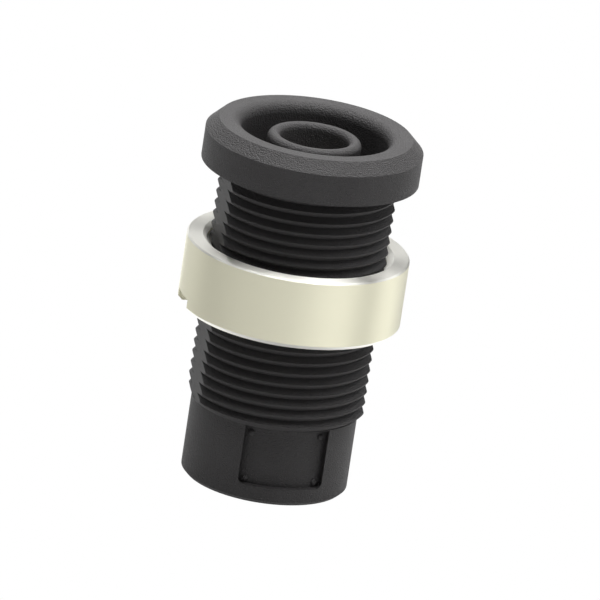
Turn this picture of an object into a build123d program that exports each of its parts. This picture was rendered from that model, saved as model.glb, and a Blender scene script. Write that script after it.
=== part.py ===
from build123d import *

import math
import os

# A 4 mm safety socket for a panel. It stands on its rear end, with its axis along +Z and its mouth on top.
# The origin is the centre of the rear end face. All sizes are in millimetres.

# Overall sizes of the moulded housing
total_length = 24.52
flange_overhang = 1.225
flange_thickness = 2.85
flange_chamfer = 0.8
rear_length = 5.23
rear_diameter = 11.07
rear_edge_break = 0.25

# Outside thread, right-handed, with two flats on opposite sides
thread_diameter = 12.0
thread_pitch = 0.75
thread_depth = 0.44
thread_crest_width = 0.095
thread_neck = 0.125
flat_depth = 0.5

# Mouth: an inner tube round the bore, and a groove round the tube for the plug's shroud
tube_outer_diameter = 6.24
tube_bore_diameter = 4.56
tube_set_back = 0.52
groove_outer_diameter = 9.75
groove_lip_radius = 0.7

# Rear end: a hollow for the solder cup, and the web that parts it from the groove
hollow_diameter = 7.4
hollow_depth = 4.2
web_thickness = 2.6

# Shallow window in the side of the rear end, facing -Y
window_width = 5.65
window_height = 4.09
window_margin = 1.17
window_depth = 0.45
window_corner_radius = 0.4

# Turned contact, pressed in from the rear
contact_bore_diameter = 4.0
contact_wall = 0.6
contact_slip = 0.02
contact_set_back = 3.0
contact_lead_in = 0.25
contact_web = 0.6
collar_diameter = 6.2
collar_thickness = 0.8
cup_bore_diameter = 2.6
cup_wall = 0.5
cup_depth = 2.4
cup_rear_gap = 0.9
cup_edge_break = 0.15

# Round nut with two spanner slots in its rear face
nut_overhang = 0.175
nut_height = 4.72
nut_bore_clearance = 0.06
nut_countersink = 0.3
nut_rear_chamfer = 0.3
nut_front_break = 0.1
slot_width = 2.4
slot_depth = 0.86
slot_turn = 3.0

# Room between the flange and the nut, as the nut stands here
panel_room = 5.31

# Diameters that follow the thread: the flange reaches past it, and the nut a little further
flange_diameter = thread_diameter + 2 * flange_overhang
nut_diameter = flange_diameter + 2 * nut_overhang

# Places along the axis
flange_face = total_length
flange_seat = flange_face - flange_thickness
tube_rim = flange_face - tube_set_back
contact_front = tube_rim - contact_set_back
groove_floor = hollow_depth + web_thickness
contact_bore_floor = hollow_depth + contact_web
cup_floor = cup_rear_gap + cup_depth
nut_front = flange_seat - panel_room
nut_rear = nut_front - nut_height

# Radii
flange_radius = flange_diameter / 2
crest_radius = thread_diameter / 2
root_radius = crest_radius - thread_depth
flat_distance = crest_radius - flat_depth
rear_radius = rear_diameter / 2
tube_radius = tube_outer_diameter / 2
tube_bore_radius = tube_bore_diameter / 2
rim_radius = (tube_radius - tube_bore_radius) / 2
groove_radius = groove_outer_diameter / 2
hollow_radius = hollow_diameter / 2
bore_radius = contact_bore_diameter / 2
contact_radius = bore_radius + contact_wall
collar_radius = collar_diameter / 2
cup_bore_radius = cup_bore_diameter / 2
cup_radius = cup_bore_radius + cup_wall
nut_radius = nut_diameter / 2
nut_bore_radius = crest_radius + nut_bore_clearance
window_floor_radius = rear_radius - window_depth


def turned(section):
    """Turns a half-section, drawn as radius and height, round the Z axis."""
    return revolve(Plane.XZ * section, Axis.Z)


def quarter_round(start, corner, end):
    """Exact quarter circle from start to end, which would meet at the corner if it weren't rounded."""
    return Bezier(start, corner, end, weights=[1, math.sqrt(0.5), 1])


def half_round(start, end, height):
    """Exact half circle from start to end, two points at one level, whose tangents rise to the given height."""
    corners = [(start[0], height), (end[0], height)]
    return Bezier(start, *corners, end, weights=[1, 1 / 3, 1 / 3, 1])


def housing_section():
    """Half-section of the housing, before its flats, thread and window are cut."""
    seat_radius = contact_radius + contact_slip
    rim_centre = tube_rim - rim_radius
    lip_centre = flange_face - groove_lip_radius
    lip_end = groove_radius + groove_lip_radius
    mouth = [
        Line((seat_radius, hollow_depth), (seat_radius, contact_front)),
        Line((seat_radius, contact_front), (tube_bore_radius, contact_front)),
        Line((tube_bore_radius, contact_front), (tube_bore_radius, rim_centre)),
        half_round((tube_bore_radius, rim_centre), (tube_radius, rim_centre), tube_rim + rim_radius),
        Line((tube_radius, rim_centre), (tube_radius, groove_floor)),
        Line((tube_radius, groove_floor), (groove_radius, groove_floor)),
        Line((groove_radius, groove_floor), (groove_radius, lip_centre)),
        quarter_round((groove_radius, lip_centre), (groove_radius, flange_face), (lip_end, flange_face)),
    ]
    outside = Polyline(
        (lip_end, flange_face),
        (flange_radius - flange_chamfer, flange_face),
        (flange_radius, flange_face - flange_chamfer),
        (flange_radius, flange_seat),
        (crest_radius, flange_seat),
        (crest_radius, rear_length + crest_radius - rear_radius),
        (rear_radius, rear_length),
        (rear_radius, rear_edge_break),
        (rear_radius - rear_edge_break, 0),
        (hollow_radius, 0),
        (hollow_radius, hollow_depth),
        (seat_radius, hollow_depth),
    )
    return make_face(mouth + outside.edges())


def flat_cutters():
    """Two blocks that take the flats off the threaded length."""
    length = flange_seat - rear_length
    block = Box(
        crest_radius,
        4 * crest_radius,
        length,
        align=(Align.MIN, Align.CENTER, Align.MIN),
    )
    block = Pos(flat_distance, 0, rear_length) * block
    return [block, Rot(Z=180) * block]


def half_turn_groove():
    """Cutter for the thread's groove from the flat at +X to the flat at -X, starting at height 0."""
    half_mouth = (thread_pitch - thread_crest_width) / 2
    slope = half_mouth / thread_depth
    # the cutter stands out past the crest by as much as its neighbours leave free
    proud = thread_crest_width / 4 / slope
    half_out = half_mouth + proud * slope
    # the groove ends in the open air over each flat, where the flat is deeper than the thread
    inset = math.degrees(math.acos(min(1.0, flat_distance / root_radius))) / 2
    turned_angle = 180 - 2 * inset
    path = Helix(thread_pitch, thread_pitch * turned_angle / 360, crest_radius)
    profile = Plane.XZ * make_face(
        Polyline(
            (root_radius, 0),
            (crest_radius + proud, half_out),
            (crest_radius + proud, -half_out),
            close=True,
        )
    )
    cutter = sweep(profile, path=path, is_frenet=True)
    return Pos(0, 0, thread_pitch * inset / 360) * (Rot(Z=inset) * cutter)


def thread_grooves():
    """Half turns of the groove, from just under the flange down past the thread's rear end."""
    groove_mouth = thread_pitch - thread_crest_width
    highest = flange_seat - thread_neck - groove_mouth / 2
    half_turns = math.ceil((highest - rear_length) / (thread_pitch / 2)) + 2
    cutter = half_turn_groove()
    grooves = []
    for count in range(half_turns):
        # each half turn ends half a pitch above its start, and the highest one ends at the flat at +X
        start = highest - (count + 1) * thread_pitch / 2
        side = 180 * ((count + 1) % 2)
        grooves.append(Pos(0, 0, start) * (Rot(Z=side) * cutter))
    return grooves


def window_cutter():
    """Rectangle with round lower corners, cut into the rear end from -Y down to a floor round the same axis."""
    outline = Rectangle(window_width, window_height)
    outline = fillet(outline.vertices().sort_by(Axis.Y)[:2], window_corner_radius)
    outline = Plane.XZ * Pos(0, window_margin + window_height / 2) * outline
    prism = extrude(outline, rear_radius + 1)
    core = Cylinder(window_floor_radius, rear_length * 2, align=(Align.CENTER, Align.CENTER, Align.CENTER))
    return prism - core


def housing():
    """One moulding: flange, tube, groove, threaded barrel with flats, and rear end."""
    body = turned(housing_section())
    for block in flat_cutters():
        body = body - block
    body = body - thread_grooves()
    return body - window_cutter()


def contact():
    """Turned contact: a tube for the pin, a collar that meets the web, and a solder cup."""
    section = make_face(
        Polyline(
            (0, cup_floor),
            (cup_bore_radius, cup_floor),
            (cup_bore_radius, cup_rear_gap + cup_edge_break),
            (cup_bore_radius + cup_edge_break, cup_rear_gap),
            (cup_radius, cup_rear_gap),
            (cup_radius, hollow_depth - collar_thickness),
            (collar_radius, hollow_depth - collar_thickness),
            (collar_radius, hollow_depth),
            (contact_radius, hollow_depth),
            (contact_radius, contact_front),
            (bore_radius + contact_lead_in, contact_front),
            (bore_radius, contact_front - contact_lead_in),
            (bore_radius, contact_bore_floor),
            (0, contact_bore_floor),
            close=True,
        )
    )
    return turned(section)


def ring_nut():
    """Round nut. Its countersunk bore clears the thread's crests, and its slots lie across the rear face."""
    section = make_face(
        Polyline(
            (nut_bore_radius, nut_rear + nut_countersink),
            (nut_bore_radius + nut_countersink, nut_rear),
            (nut_radius - nut_rear_chamfer, nut_rear),
            (nut_radius, nut_rear + nut_rear_chamfer),
            (nut_radius, nut_front - nut_front_break),
            (nut_radius - nut_front_break, nut_front),
            (nut_bore_radius + nut_countersink, nut_front),
            (nut_bore_radius, nut_front - nut_countersink),
            close=True,
        )
    )
    slot = Box(
        2 * nut_diameter,
        slot_width,
        2 * slot_depth,
    )
    return turned(section) - Pos(0, 0, nut_rear) * (Rot(Z=slot_turn) * slot)


parts = {
    "housing": housing(),
    "contact": contact(),
    "ring_nut": ring_nut(),
}

os.makedirs("parts", exist_ok=True)
for name, shape in parts.items():
    export_step(shape, f"parts/{name}.step")
    print(name, "valid", shape.is_valid, "solids", len(shape.solids()), "volume", round(shape.volume, 2))
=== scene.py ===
import math

import bmesh
import bpy
from mathutils import Matrix, Vector


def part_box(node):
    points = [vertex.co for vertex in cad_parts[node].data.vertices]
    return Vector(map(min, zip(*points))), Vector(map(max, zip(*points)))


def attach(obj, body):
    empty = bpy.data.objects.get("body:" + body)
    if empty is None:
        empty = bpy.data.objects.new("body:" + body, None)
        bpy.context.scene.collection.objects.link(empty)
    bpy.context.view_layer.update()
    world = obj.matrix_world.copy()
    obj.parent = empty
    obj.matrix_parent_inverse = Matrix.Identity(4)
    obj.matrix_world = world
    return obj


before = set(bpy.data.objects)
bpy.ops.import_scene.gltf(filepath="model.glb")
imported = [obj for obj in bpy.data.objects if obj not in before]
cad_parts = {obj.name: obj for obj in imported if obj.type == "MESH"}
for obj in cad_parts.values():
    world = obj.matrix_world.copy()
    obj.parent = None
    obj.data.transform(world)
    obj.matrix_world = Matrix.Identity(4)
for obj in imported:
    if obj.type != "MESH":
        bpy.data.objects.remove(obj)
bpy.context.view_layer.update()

# A safety socket that stands on its rear end. Its axis is +Z, and the window in its side faces -Y.
# Angles are in degrees, and lengths in metres unless the name says otherwise.

# The camera that sees the object as the photograph does
camera_elevation = 18.81
camera_azimuth = -13.4
camera_roll = 8.64
camera_distance = 0.8155
camera_clip_start = 0.01
camera_clip_end = 20
sensor_width_mm = 36.0

# The photograph's frame in pixels, its focal length, and where a point of the axis lies in it
picture_size = 600
focal_length_pixels = 12379
aimed_pixel = (290.99, 295.13)
aimed_height = 0.01281

# Outside thread of the barrel. Its groove starts a short neck below the flange.
flange_seat = 0.02167
thread_neck = 0.000125
thread_radius = 0.006
thread_pitch = 0.00075
thread_depth = 0.00044
thread_crest_width = 0.000095
groove_root_radius = thread_radius - thread_depth
groove_half_mouth = (thread_pitch - thread_crest_width) / 2

# Height at which the middle of the groove first crosses the -X side, half a turn down from its start at +X
groove_start_height = flange_seat - thread_neck - groove_half_mouth - thread_pitch / 2

# Inside thread of the nut: a ridge that lies in the barrel's groove with a little room, turn for turn
nut_bore_clearance = 0.00006
nut_countersink = 0.0003
thread_clearance = 0.00004
ridge_tip_radius = 0.00568
ridge_sink = 0.00003
steps_per_turn = 96
nut_bore_radius = thread_radius + nut_bore_clearance
countersink_radius = nut_bore_radius + nut_countersink

# Window in the side of the rear end
rear_radius = 0.005535
window_depth = 0.00045
window_half_width = 0.002825
window_bottom = 0.00117
window_top = 0.00526
window_floor_radius = rear_radius - window_depth

# Pips in the window's corners, and how far they stand in from its sides, top and bottom
pip_side_inset = 0.00052
pip_top_inset = 0.00058
pip_bottom_inset = 0.00034
pip_radius = 0.00022
pip_height = 0.00018
pip_sink = 0.00003
pip_sides = 24
pip_rings = 5

# Detail of every noise, and where a colour starts and ends its run between its two shades
noise_detail = 2
shade_start = 0.3
shade_end = 0.7

# Moulded plastic: its grain, and a faint drift of its shade. Scales are in features per metre.
plastic_dark = (0.0356, 0.034, 0.0345, 1)
plastic_light = (0.041, 0.0394, 0.04, 1)
plastic_smoothest = 0.48
plastic_roughest = 0.62
plastic_specular = 0.2
grain_scale = 10500
grain_height = 0.0001
grain_strength = 1.0
drift_scale = 260

# Marks that the lathe leaves round the axis. A highlight is drawn out a quarter turn from them.
mark_scale = 14000
mark_height = 0.000004
mark_strength = 0.3
highlight_turn = 0.25

# Metal of the nut and of the contact. The walls, the cones and the flat faces each have a roughness.
# The nut's nickel is warmer on its walls and paler on its flat faces: its own colour, with a painted
# reflection by facing
nickel_wall_painted_reflection = (0.98, 0.96, 0.79, 1)
nickel_face_painted_reflection = (0.95, 0.94, 0.88, 1)
nut_roughness = {"wall": 0.75, "cone": 0.28, "face": 0.45}
nut_anisotropy = 1.0
contact_nickel = (0.74, 0.72, 0.66, 1)
contact_roughness = {"wall": 0.4, "cone": 0.3, "face": 0.35}
contact_anisotropy = 0.5

# Where the finish changes: 0 is what faces the rear, 0.5 is a wall, and 1 is what faces up.
# Cones have a finish of their own only towards the rear.
finish_places = (
    (0.02, "face"),
    (0.1, "cone"),
    (0.2, "cone"),
    (0.45, "wall"),
    (0.55, "wall"),
    (0.8, "face"),
)

# The floor: how pale it is to the object, and how strongly it is lit from below, as a light table is
floor_size = 6
floor_shade = 0.18
floor_roughness = 0.9
floor_glow = 0.65

# Faint even light from all round
surround_light = 0.095

# Soft boxes, all of one size and at one distance: azimuth, elevation, and power in watts.
# Azimuth 0 is in front, on the -Y side, and 90 is on the +X side.
light_distance = 0.6
light_size = 0.35
soft_boxes = {
    "overhead": (0, 88, 2.35),
    "front_high": (-40, 76, 0.35),
    "right_high": (45, 65, 1.35),
    "side_high": (90, 65, 1.0),
    "side_low": (97, 10, 0.58),
    "side_back": (125, 30, 0.43),
    "right_low": (45, 10, 0.35),
    "left_high": (-90, 65, 0.6),
    "left_low": (-135, 10, 0.23),
    "back_high": (180, 65, 4.9),
    "back_middle": (180, 40, 0.35),
    "back_low": (180, 10, 0.37),
}


def grey(shade):
    """Colour with the same share of red, green and blue."""
    return (shade, shade, shade, 1)


def add_object(name, data):
    """New object in the scene that holds the given data."""
    thing = bpy.data.objects.new(name, data)
    bpy.context.scene.collection.objects.link(thing)
    return thing


def new_material(name):
    """Material with a Principled shader. Gives the material, its nodes, its links and the shader."""
    material = bpy.data.materials.new(name)
    material.use_nodes = True
    nodes = material.node_tree.nodes
    links = material.node_tree.links
    return material, nodes, links, nodes["Principled BSDF"]


def noise(nodes, links, place, scale):
    """Noise over the given coordinates."""
    texture = nodes.new("ShaderNodeTexNoise")
    texture.inputs["Scale"].default_value = scale
    texture.inputs["Detail"].default_value = noise_detail
    links.new(place, texture.inputs["Vector"])
    return texture.outputs["Fac"]


def colour_between(nodes, links, factor, low, high):
    """Colour that runs from one shade to another with the factor."""
    ramp = nodes.new("ShaderNodeValToRGB")
    first, last = ramp.color_ramp.elements
    first.position = shade_start
    first.color = low
    last.position = shade_end
    last.color = high
    links.new(factor, ramp.inputs["Fac"])
    return ramp.outputs["Color"]


def value_between(nodes, links, factor, low, high):
    """Number that runs from low to high with the factor."""
    spread = nodes.new("ShaderNodeMapRange")
    spread.inputs["To Min"].default_value = low
    spread.inputs["To Max"].default_value = high
    links.new(factor, spread.inputs["Value"])
    return spread.outputs["Result"]


def bump(nodes, links, relief, height, strength):
    """Normal of a surface with the given relief, which is as high as the given height."""
    node = nodes.new("ShaderNodeBump")
    node.inputs["Distance"].default_value = height
    node.inputs["Strength"].default_value = strength
    links.new(relief, node.inputs["Height"])
    return node.outputs["Normal"]


def moulded_plastic():
    """Black plastic from a finely eroded mould: dull, with a grain of about a tenth of a millimetre."""
    material, nodes, links, shader = new_material("housing_plastic")
    place = nodes.new("ShaderNodeTexCoord").outputs["Object"]
    grain = noise(nodes, links, place, grain_scale)
    drift = noise(nodes, links, place, drift_scale)
    colour = colour_between(nodes, links, drift, plastic_dark, plastic_light)
    roughness = value_between(nodes, links, grain, plastic_smoothest, plastic_roughest)
    links.new(colour, shader.inputs["Base Color"])
    links.new(roughness, shader.inputs["Roughness"])
    links.new(bump(nodes, links, grain, grain_height, grain_strength), shader.inputs["Normal"])
    shader.inputs["Specular IOR Level"].default_value = plastic_specular
    return material


def ring_coordinates(nodes, links):
    """Coordinates that are the same all round the Z axis, as a turned surface's marks are."""
    split = nodes.new("ShaderNodeSeparateXYZ")
    links.new(nodes.new("ShaderNodeTexCoord").outputs["Object"], split.inputs["Vector"])
    flat = nodes.new("ShaderNodeCombineXYZ")
    links.new(split.outputs["X"], flat.inputs["X"])
    links.new(split.outputs["Y"], flat.inputs["Y"])
    radius = nodes.new("ShaderNodeVectorMath")
    radius.operation = "LENGTH"
    links.new(flat.outputs["Vector"], radius.inputs[0])
    ring = nodes.new("ShaderNodeCombineXYZ")
    links.new(radius.outputs["Value"], ring.inputs["X"])
    links.new(split.outputs["Z"], ring.inputs["Z"])
    return ring.outputs["Vector"]


def facing_up(nodes, links):
    """How far a surface faces up the axis: -1 on a rear face, 0 on a wall and 1 on a top face."""
    split = nodes.new("ShaderNodeSeparateXYZ")
    links.new(nodes.new("ShaderNodeTexCoord").outputs["Normal"], split.inputs["Vector"])
    return split.outputs["Z"]


def without_sign(nodes, links, value):
    """The same number, with no minus."""
    size = nodes.new("ShaderNodeMath")
    size.operation = "ABSOLUTE"
    links.new(value, size.inputs[0])
    return size.outputs["Value"]


def turned_finish(nodes, links, upward, roughness):
    """Roughness that changes between the walls, the cones and the flat faces."""
    place = nodes.new("ShaderNodeMapRange")
    place.inputs["From Min"].default_value = -1
    links.new(upward, place.inputs["Value"])
    finish = nodes.new("ShaderNodeValToRGB")
    elements = finish.color_ramp.elements
    while len(elements) < len(finish_places):
        elements.new(1)
    for element, (position, kind) in zip(elements, finish_places):
        element.position = position
        element.color = grey(roughness[kind])
    links.new(place.outputs["Result"], finish.inputs["Fac"])
    return finish.outputs["Color"]


def turned_metal(name, wall_colour, face_colour, roughness, anisotropy):
    """Plated metal off a lathe: fine marks round the axis, and a highlight drawn out across them. Its
    colour runs from a wall colour to a face colour by facing, which can paint a reflection.
    """
    material, nodes, links, shader = new_material(name)
    upward = facing_up(nodes, links)
    flatness = without_sign(nodes, links, upward)
    # Walls and flat faces take different colours by facing; on the nut this paints a reflection over the
    # nickel's own colour
    colour = colour_between(nodes, links, flatness, wall_colour, face_colour)
    marks = noise(nodes, links, ring_coordinates(nodes, links), mark_scale)
    tangent = nodes.new("ShaderNodeTangent")
    tangent.direction_type = "RADIAL"
    tangent.axis = "Z"
    links.new(colour, shader.inputs["Base Color"])
    links.new(turned_finish(nodes, links, upward, roughness), shader.inputs["Roughness"])
    links.new(bump(nodes, links, marks, mark_height, mark_strength), shader.inputs["Normal"])
    links.new(tangent.outputs["Tangent"], shader.inputs["Tangent"])
    shader.inputs["Metallic"].default_value = 1.0
    shader.inputs["Anisotropic"].default_value = anisotropy
    shader.inputs["Anisotropic Rotation"].default_value = highlight_turn
    return material


def dress(node, material):
    """Gives a CAD node its material."""
    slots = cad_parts[node].data.materials
    slots.clear()
    slots.append(material)


def join_rings(mesh, near, far):
    """Band of faces between two closed rings that have the same number of points."""
    for i in range(len(near)):
        j = (i + 1) % len(near)
        mesh.faces.new((near[i], near[j], far[j], far[i]))


def finished_piece(name, mesh):
    """Object made from mesh code, with its faces turned outward."""
    bmesh.ops.recalc_face_normals(mesh, faces=mesh.faces)
    data = bpy.data.meshes.new(name)
    mesh.to_mesh(data)
    mesh.free()
    return add_object(name, data)


def ridge_section():
    """Section of the nut's thread as radius and height about its middle, clear of the barrel's groove."""
    slope = groove_half_mouth / thread_depth
    margin = thread_clearance * math.sqrt(1 + slope * slope)

    def half_width(radius):
        return (radius - groove_root_radius) * slope - margin

    base_radius = nut_bore_radius + ridge_sink
    tip = half_width(ridge_tip_radius)
    base = half_width(base_radius)
    return [(base_radius, -base), (ridge_tip_radius, -tip), (ridge_tip_radius, tip), (base_radius, base)]


def nut_thread():
    """Helical ridge inside the nut, which runs out in a countersink at each face."""
    low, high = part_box("ring_nut")
    section = ridge_section()
    half_height = section[-1][1]
    lowest_turn = (low.z - half_height - groove_start_height) / thread_pitch
    highest_turn = (high.z + half_height - groove_start_height) / thread_pitch
    lowest_step = math.ceil(lowest_turn * steps_per_turn)
    highest_step = math.floor(highest_turn * steps_per_turn)
    mesh = bmesh.new()
    rings = []
    for step in range(lowest_step, highest_step + 1):
        turn = step / steps_per_turn
        # turn 0 is where the groove crosses -X at its start height
        angle = math.pi + 2 * math.pi * turn
        middle = groove_start_height + thread_pitch * turn
        ring = []
        for radius, offset in section:
            height = min(max(middle + offset, low.z), high.z)
            depth = min(height - low.z, high.z - height)
            # near a face, the ridge stays behind the countersink's cone of 45 degrees
            reach = max(radius, countersink_radius + ridge_sink - depth)
            ring.append(mesh.verts.new((reach * math.cos(angle), reach * math.sin(angle), height)))
        rings.append(ring)
    for near, far in zip(rings, rings[1:]):
        join_rings(mesh, near, far)
    mesh.faces.new(rings[0][::-1])
    mesh.faces.new(rings[-1])
    return finished_piece("nut_thread", mesh)


def add_pip(mesh, foot, outward, sideways, upward):
    """Low dome on the window's floor. Its lowest ring is sunk a little below the floor."""
    rings = []
    for step in range(pip_rings):
        rise = math.pi / 2 * step / pip_rings
        radius = pip_radius * math.cos(rise)
        height = pip_height * math.sin(rise) + (pip_sink if step else 0)
        ring = []
        for side in range(pip_sides):
            angle = 2 * math.pi * side / pip_sides
            spoke = sideways * math.cos(angle) + upward * math.sin(angle)
            ring.append(mesh.verts.new(foot + outward * height + spoke * radius))
        rings.append(ring)
    for near, far in zip(rings, rings[1:]):
        join_rings(mesh, near, far)
    crown = mesh.verts.new(foot + outward * (pip_height + pip_sink))
    for side in range(pip_sides):
        mesh.faces.new((rings[-1][side], rings[-1][(side + 1) % pip_sides], crown))
    mesh.faces.new(rings[0][::-1])


def window_pips():
    """Low round pips in the window's four corners."""
    mesh = bmesh.new()
    upward = Vector((0, 0, 1))
    across = window_half_width - pip_side_inset
    for x in (-across, across):
        turn = math.asin(x / window_floor_radius)
        outward = Vector((math.sin(turn), -math.cos(turn), 0))
        sideways = Vector((math.cos(turn), math.sin(turn), 0))
        for z in (window_bottom + pip_bottom_inset, window_top - pip_top_inset):
            foot = outward * (window_floor_radius - pip_sink) + upward * z
            add_pip(mesh, foot, outward, sideways, upward)
    for face in mesh.faces:
        face.smooth = True
    return finished_piece("window_pips", mesh)


def white_to_camera(nodes, links, shader, output):
    """Shows plain white to the camera's direct look, and the given shader to all other light."""
    path = nodes.new("ShaderNodeLightPath")
    white = nodes.new("ShaderNodeEmission")
    white.inputs["Color"].default_value = grey(1)
    choice = nodes.new("ShaderNodeMixShader")
    links.new(path.outputs["Is Camera Ray"], choice.inputs["Fac"])
    links.new(shader, choice.inputs[1])
    links.new(white.outputs["Emission"], choice.inputs[2])
    links.new(choice.outputs["Shader"], output)


def pale_floor():
    """Wide pale floor, lit from below, which runs into the white backdrop."""
    bpy.ops.mesh.primitive_plane_add(size=floor_size, location=(0, 0, 0))
    floor = bpy.context.object
    floor.name = "floor"
    material, nodes, links, shader = new_material("floor_white")
    shader.inputs["Base Color"].default_value = grey(floor_shade)
    shader.inputs["Roughness"].default_value = floor_roughness
    shader.inputs["Emission Color"].default_value = grey(1)
    shader.inputs["Emission Strength"].default_value = floor_glow
    white_to_camera(nodes, links, shader.outputs["BSDF"], nodes["Material Output"].inputs["Surface"])
    floor.data.materials.append(material)


def studio_surround():
    """Faint light from all round, behind which the camera sees plain white."""
    world = bpy.data.worlds.new("surround")
    world.use_nodes = True
    nodes = world.node_tree.nodes
    links = world.node_tree.links
    background = nodes["Background"]
    background.inputs["Color"].default_value = grey(surround_light)
    white_to_camera(nodes, links, background.outputs["Background"], nodes["World Output"].inputs["Surface"])
    bpy.context.scene.world = world


def soft_box(name, azimuth, elevation, power):
    """Square area light that faces the object from the given direction."""
    data = bpy.data.lights.new(name, "AREA")
    data.shape = "SQUARE"
    data.size = light_size
    data.energy = power
    light = add_object(name, data)
    turn, rise = math.radians(azimuth), math.radians(elevation)
    away = Vector((math.sin(turn) * math.cos(rise), -math.cos(turn) * math.cos(rise), math.sin(rise)))
    light.location = Vector((0, 0, aimed_height)) + away * light_distance
    light.rotation_euler = away.to_track_quat("Z", "Y").to_euler()
    light.visible_camera = False


def photograph_camera():
    """Camera at the photograph's angle, with the aimed point of the axis at its pixel."""
    half = picture_size / 2
    across = (aimed_pixel[0] - half) / focal_length_pixels
    down = (aimed_pixel[1] - half) / focal_length_pixels
    sight = Vector((across, -down, -1)).normalized()
    turn = Matrix.Rotation(math.radians(camera_azimuth), 4, "Z")
    tilt = Matrix.Rotation(math.radians(90 - camera_elevation), 4, "X")
    roll = Matrix.Rotation(math.radians(camera_roll), 4, "Z")
    aim = sight.rotation_difference(Vector((0, 0, -1))).to_matrix().to_4x4()
    pose = turn @ tilt @ roll @ aim
    data = bpy.data.cameras.new("camera")
    data.sensor_fit = "HORIZONTAL"
    data.sensor_width = sensor_width_mm
    data.lens = focal_length_pixels / picture_size * sensor_width_mm
    data.clip_start = camera_clip_start
    data.clip_end = camera_clip_end
    camera = add_object("camera", data)
    place = Vector((0, 0, aimed_height)) - pose.to_3x3() @ (sight * camera_distance)
    camera.matrix_world = Matrix.Translation(place) @ pose
    bpy.context.scene.camera = camera


nut_metal = turned_metal("nut_metal", nickel_wall_painted_reflection, nickel_face_painted_reflection, nut_roughness, nut_anisotropy)
contact_metal = turned_metal(
    "contact_metal", contact_nickel, contact_nickel, contact_roughness, contact_anisotropy
)
housing_plastic = moulded_plastic()
dress("housing", housing_plastic)
dress("ring_nut", nut_metal)
dress("contact", contact_metal)

thread = nut_thread()
thread.data.materials.append(nut_metal)
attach(thread, "nut")

pips = window_pips()
pips.data.materials.append(housing_plastic)
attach(pips, "socket")

pale_floor()
studio_surround()
for name, (azimuth, elevation, power) in soft_boxes.items():
    soft_box(name, azimuth, elevation, power)
photograph_camera()
bpy.context.scene.view_settings.view_transform = "Standard"
